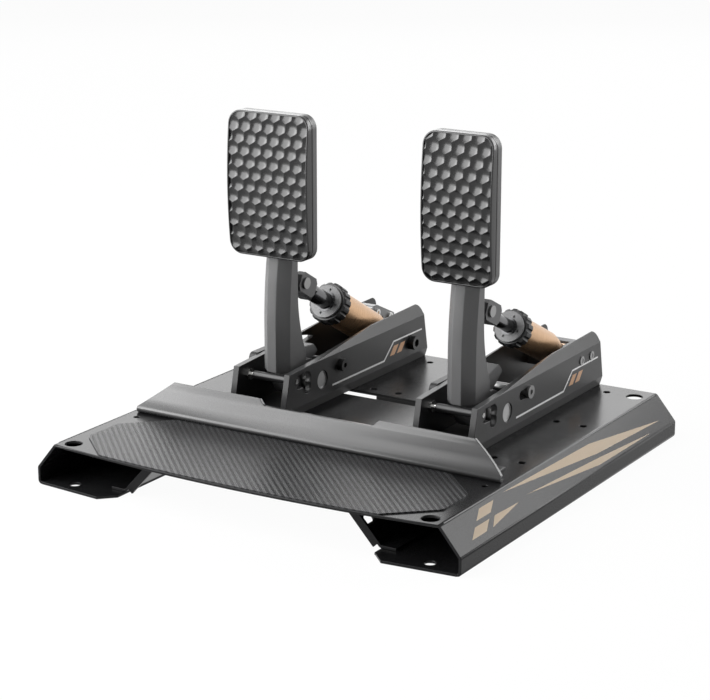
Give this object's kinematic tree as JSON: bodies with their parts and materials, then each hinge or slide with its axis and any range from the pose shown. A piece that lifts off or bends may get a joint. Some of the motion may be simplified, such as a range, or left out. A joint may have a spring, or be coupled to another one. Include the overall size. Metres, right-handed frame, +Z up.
{
  "type": "sim racing pedal set",
  "caption": "Brake and throttle pedals with dimpled pads and inclined dampers on a folded steel base plate with a ribbed foot mat and a curved heel rest.",
  "frame": {"origin": "middle of the floor area, on the floor", "axes": "+X to the driver's right, +Y away from the driver, +Z up"},
  "size_m": [0.387, 0.389, 0.2865],
  "materials": {
    "black_steel": "satin powder coat",
    "mat_black": "fine ribbed matt",
    "dark_satin_sheet": "satin powder coat",
    "black_plastic": "matt",
    "black_screw": "black oxide",
    "bright_steel": "bright",
    "dark_grey_wall": "black anodised, satin",
    "rubber": "matt",
    "satin_black_arm": "black anodised, satin",
    "bronze_bush": "satin",
    "pad_black": "black anodised, matt",
    "pad_back": "black anodised, matt",
    "grey_fork": "bead blasted grey",
    "dark_steel": "dark polished",
    "copper_barrel": "copper anodised, satin",
    "light_cap": "bead blasted light grey",
    "black_ring": "black anodised, satin",
    "light_cell": "bead blasted light grey"
  },
  "bodies": {
    "base": {"base_plate": "black_steel", "left_foot_brace": "black_steel", "right_foot_brace": "black_steel", "foot_mat": "mat_black", "heel_rest": "dark_satin_sheet", "heel_rest_screws": "black_screw", "control_box": "black_plastic", "bracket_screws": "black_screw", "pivot_caps": "bright_steel", "stop_guides": "bright_steel", "brake_left_wall": "dark_grey_wall", "brake_right_wall": "dark_grey_wall", "brake_bracket_floor": "dark_grey_wall", "brake_pivot_shaft": "bright_steel", "brake_sensor_housing": "black_plastic", "brake_stop_rod": "bright_steel", "brake_stop_sleeve": "rubber", "brake_stop_nuts": "bright_steel", "brake_end_stop_bolt": "black_screw", "brake_load_cell": "light_cell", "brake_load_cell_screws": "bright_steel", "brake_rear_bolt": "black_screw", "throttle_left_wall": "dark_grey_wall", "throttle_right_wall": "dark_grey_wall", "throttle_bracket_floor": "dark_grey_wall", "throttle_pivot_shaft": "bright_steel", "throttle_sensor_housing": "black_plastic", "throttle_stop_rod": "bright_steel", "throttle_stop_sleeve": "rubber", "throttle_stop_nuts": "bright_steel", "throttle_end_stop_bolt": "bright_steel", "throttle_rear_block": "dark_grey_wall", "throttle_rear_screws": "bright_steel", "throttle_rear_pin": "bright_steel"},
    "brake_pedal": {"brake_arm": "satin_black_arm", "brake_hub_bushes": "bronze_bush", "brake_pad_tread": "pad_black", "brake_pad_backing": "pad_back", "brake_pad_screws": "black_screw", "brake_clevis_pin": "bright_steel"},
    "brake_damper_barrel": {"brake_barrel": "copper_barrel", "brake_end_cap": "light_cap", "brake_wiper_ring": "rubber"},
    "brake_damper_rod": {"brake_clevis": "grey_fork", "brake_lock_nut": "dark_steel", "brake_rod": "dark_steel"},
    "brake_damper_ring": {"brake_preload_ring": "black_ring"},
    "throttle_pedal": {"throttle_arm": "satin_black_arm", "throttle_hub_bushes": "bronze_bush", "throttle_pad_tread": "pad_black", "throttle_pad_backing": "pad_back", "throttle_pad_screws": "black_screw", "throttle_clevis_pin": "bright_steel"},
    "throttle_damper_barrel": {"throttle_barrel": "copper_barrel", "throttle_end_cap": "light_cap", "throttle_wiper_ring": "rubber"},
    "throttle_damper_rod": {"throttle_clevis": "grey_fork", "throttle_lock_nut": "dark_steel", "throttle_rod": "dark_steel"},
    "throttle_damper_ring": {"throttle_preload_ring": "black_ring"}
  },
  "joints": [
    {"name": "brake_press", "type": "hinge", "parent": "base", "child": "brake_pedal", "pos_m": [-0.0778, 0.01645, 0.0585], "axis": [-1, 0, 0], "range_deg": [0, 10], "stiffness_Nm_per_rad": 120, "springref_deg": -2.86},
    {"name": "brake_barrel_swivel", "type": "hinge", "parent": "base", "child": "brake_damper_barrel", "pos_m": [-0.0778, 0.16345, 0.0563], "axis": [-1, 0, 0], "range_deg": [0, 2.3]},
    {"name": "brake_rod_slide", "type": "slide", "parent": "brake_damper_barrel", "child": "brake_damper_rod", "axis": [0, 0.8704, -0.4923], "range_m": [0, 0.0128]},
    {"name": "brake_ring_turn", "type": "hinge", "parent": "brake_damper_barrel", "child": "brake_damper_ring", "pos_m": [-0.0778, 0.16345, 0.0563], "axis": [0, 0.8704, -0.4923], "continuous": true},
    {"name": "throttle_press", "type": "hinge", "parent": "base", "child": "throttle_pedal", "pos_m": [0.0967, 0.01645, 0.0585], "axis": [-1, 0, 0], "range_deg": [0, 18], "stiffness_Nm_per_rad": 18, "springref_deg": -6.88},
    {"name": "throttle_barrel_swivel", "type": "hinge", "parent": "base", "child": "throttle_damper_barrel", "pos_m": [0.0967, 0.16005, 0.0686], "axis": [-1, 0, 0], "range_deg": [0, 3.5]},
    {"name": "throttle_rod_slide", "type": "slide", "parent": "throttle_damper_barrel", "child": "throttle_damper_rod", "axis": [0, 0.8966, -0.4427], "range_m": [0, 0.0241]},
    {"name": "throttle_ring_turn", "type": "hinge", "parent": "throttle_damper_barrel", "child": "throttle_damper_ring", "pos_m": [0.0967, 0.16005, 0.0686], "axis": [0, 0.8966, -0.4427], "continuous": true}
  ],
  "couplings": [
    {"joint": "brake_barrel_swivel", "follows": "brake_press", "ratio": 0.22422},
    {"joint": "brake_rod_slide", "follows": "brake_press", "m_per_rad": 0.072579},
    {"joint": "throttle_barrel_swivel", "follows": "throttle_press", "ratio": 0.19206},
    {"joint": "throttle_rod_slide", "follows": "throttle_press", "m_per_rad": 0.075909}
  ]
}
